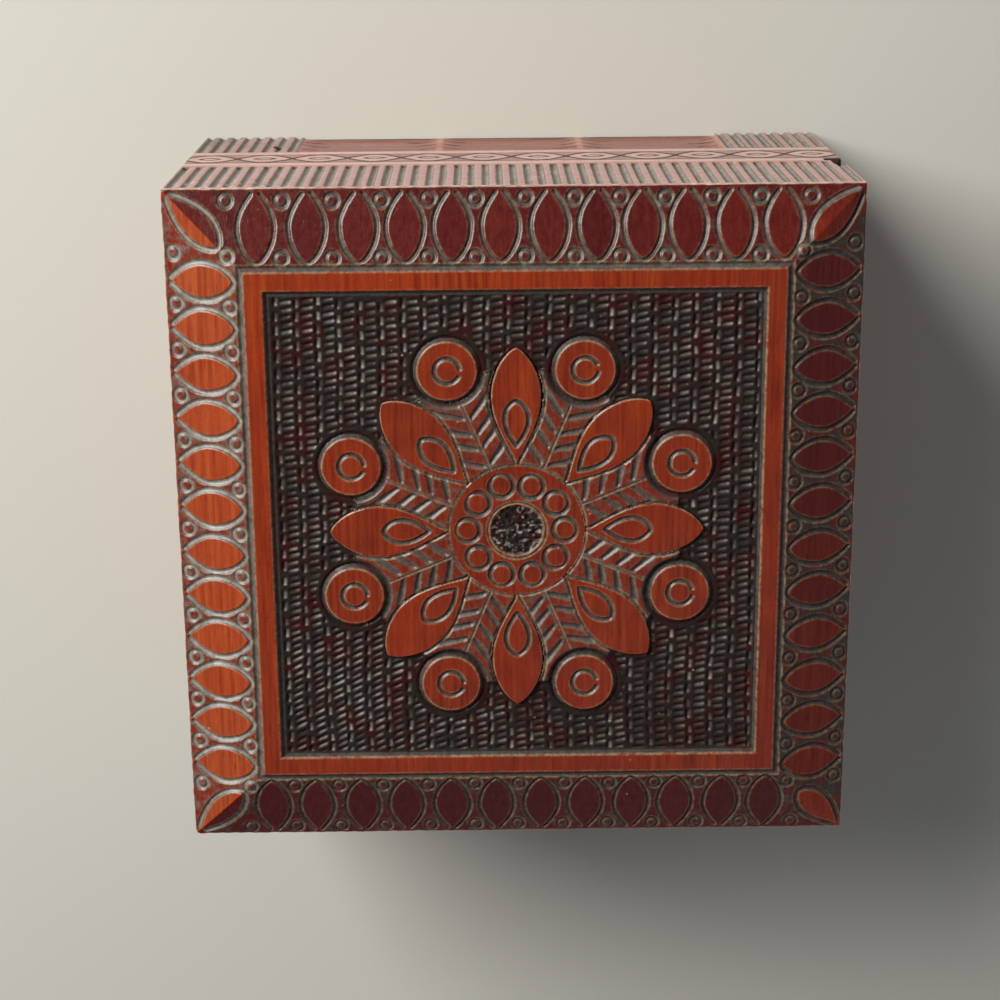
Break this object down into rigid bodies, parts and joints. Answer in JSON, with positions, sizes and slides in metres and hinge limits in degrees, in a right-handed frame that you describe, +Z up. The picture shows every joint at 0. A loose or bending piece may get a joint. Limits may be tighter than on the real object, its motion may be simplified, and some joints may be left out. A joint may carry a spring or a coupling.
{
  "type": "carved wooden jewelry box",
  "caption": "Square jewelry box of carved wood with a deep hinged lid: relief rosette and leaf border on top, fluted sides, a chain band and scooped panels on the base.",
  "frame": {"origin": "centre of the box's underside, between the four outer faces of the walls", "axes": "+Z up out of the lid, front at -Y, hinges at the back at +Y, hinge axis along X"},
  "size_m": [0.13, 0.1334, 0.075],
  "materials": {
    "lid_board_wood": "carved wood with a satin red-brown stain and dark hollows",
    "lid_wall_wood": "carved wood with a satin red-brown stain",
    "base_wood": "carved wood with a satin red-brown stain",
    "floor_wood": "plain sanded wood",
    "hinge_brass": "satin brass, slightly dulled",
    "screw_brass": "satin brass, slightly dulled"
  },
  "bodies": {
    "base": {"base_wall_front": "base_wood", "base_wall_right": "base_wood", "base_wall_back": "base_wood", "base_wall_left": "base_wood", "base_floor": "floor_wood", "hinge_left_base_leaf": "hinge_brass", "hinge_left_pin": "hinge_brass", "hinge_left_base_screw_1": "screw_brass", "hinge_left_base_screw_2": "screw_brass", "hinge_right_base_leaf": "hinge_brass", "hinge_right_pin": "hinge_brass", "hinge_right_base_screw_1": "screw_brass", "hinge_right_base_screw_2": "screw_brass"},
    "lid": {"lid_board": "lid_board_wood", "lid_wall_front": "lid_wall_wood", "lid_wall_right": "lid_wall_wood", "lid_wall_back": "lid_wall_wood", "lid_wall_left": "lid_wall_wood", "hinge_left_lid_leaf": "hinge_brass", "hinge_left_lid_screw_1": "screw_brass", "hinge_left_lid_screw_2": "screw_brass", "hinge_right_lid_leaf": "hinge_brass", "hinge_right_lid_screw_1": "screw_brass", "hinge_right_lid_screw_2": "screw_brass"}
  },
  "joints": [
    {"name": "lid_hinge", "type": "hinge", "parent": "base", "child": "lid", "pos_m": [0, 0.0669, 0.04215], "axis": [-1, 0, 0], "range_deg": [0, 100]}
  ]
}
